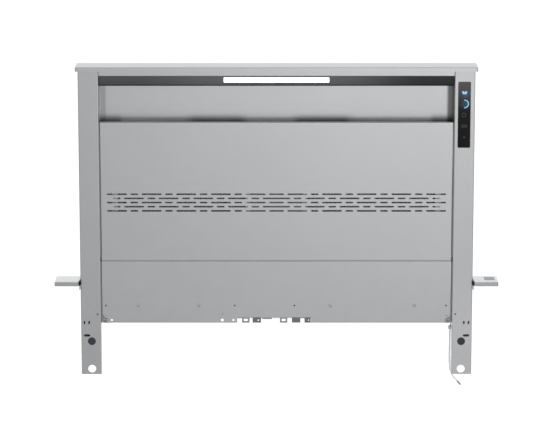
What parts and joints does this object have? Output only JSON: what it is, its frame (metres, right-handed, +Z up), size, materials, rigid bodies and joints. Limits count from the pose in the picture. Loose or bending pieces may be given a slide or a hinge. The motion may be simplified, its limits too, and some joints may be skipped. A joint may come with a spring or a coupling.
{
  "type": "downdraft vent",
  "caption": "Countertop downdraft vent shown raised: wide steel riser with intake window, slotted panel, light bar, touch control and two end trims.",
  "frame": {"origin": "middle of the slot in the countertop that the riser comes up through, on the countertop's surface", "axes": "+X to the right along the vent as the cook faces it, +Y to the back, away from the cook, +Z up; the riser is shown fully up"},
  "size_m": [0.914, 0.054, 0.6775],
  "materials": {
    "stainless": "vertical brushed stainless steel",
    "cap_steel": "lengthwise brushed stainless steel",
    "zinc_steel": "zinc-plated steel",
    "spring_steel": "dark spring steel",
    "aluminium": "mill-finish aluminium",
    "black_plastic": "moulded black plastic",
    "grey_plastic": "satin grey plastic",
    "control_glass": "black back-printed glass",
    "opal_lens": "opal diffuser, lit white",
    "circuit_board": "circuit board",
    "lead_grey": "light grey cable jacket"
  },
  "bodies": {
    "counter_frame": {"left_end_trim": "cap_steel", "right_end_trim": "cap_steel", "left_trim_base": "zinc_steel", "right_trim_base": "zinc_steel", "left_front_guide": "black_plastic", "right_front_guide": "black_plastic", "left_rear_guide": "black_plastic", "right_rear_guide": "black_plastic", "left_rail_screw": "zinc_steel", "right_rail_screw": "zinc_steel", "rear_rail": "zinc_steel", "button_frame": "black_plastic", "button_switch": "circuit_board", "button_spring": "spring_steel"},
    "button": {"lift_button": "grey_plastic"},
    "riser": {"left_post": "stainless", "right_post": "stainless", "header_strip": "stainless", "rear_panel": "stainless", "lower_panel": "stainless", "top_cap": "cap_steel", "light_housing": "zinc_steel", "lower_stiffener": "zinc_steel", "centre_mullion": "zinc_steel", "filter_rail_top": "zinc_steel", "filter_rail_bottom": "zinc_steel", "left_filter_channel": "zinc_steel", "right_filter_channel": "zinc_steel", "lift_bracket": "zinc_steel", "left_hinge_pin": "zinc_steel", "right_hinge_pin": "zinc_steel", "lower_screw_1": "zinc_steel", "lower_screw_2": "zinc_steel", "lower_screw_3": "zinc_steel", "lower_screw_4": "zinc_steel", "left_filter_pull": "zinc_steel", "right_filter_pull": "zinc_steel", "spring_clip_1": "spring_steel", "spring_clip_2": "spring_steel", "spring_clip_3": "spring_steel", "left_filter_frame": "aluminium", "right_filter_frame": "aluminium", "left_filter_mesh": "aluminium", "right_filter_mesh": "aluminium", "left_hole_plug": "black_plastic", "right_hole_plug": "black_plastic", "left_lower_shoe": "black_plastic", "right_lower_shoe": "black_plastic", "left_catch_magnet": "black_plastic", "right_catch_magnet": "black_plastic", "control_box": "black_plastic", "lead_connector": "black_plastic", "lead_clip": "grey_plastic", "control_glass": "control_glass", "light_diffuser": "opal_lens", "led_board": "circuit_board", "control_board": "circuit_board", "control_lead": "lead_grey", "lead_tail": "lead_grey"},
    "hinged_panel": {"access_panel": "stainless"}
  },
  "joints": [
    {"name": "riser_lift", "type": "slide", "parent": "counter_frame", "child": "riser", "axis": [0, 0, 1], "range_m": [-0.4375, 0]},
    {"name": "panel_tilt", "type": "hinge", "parent": "riser", "child": "hinged_panel", "pos_m": [0, -0.016, 0.0556], "axis": [1, 0, 0], "range_deg": [0, 75]},
    {"name": "button_press", "type": "slide", "parent": "counter_frame", "child": "button", "axis": [0, 0, -1], "range_m": [0, 0.001], "stiffness_N_per_m": 1200, "deforming": ["button_spring"]}
  ]
}
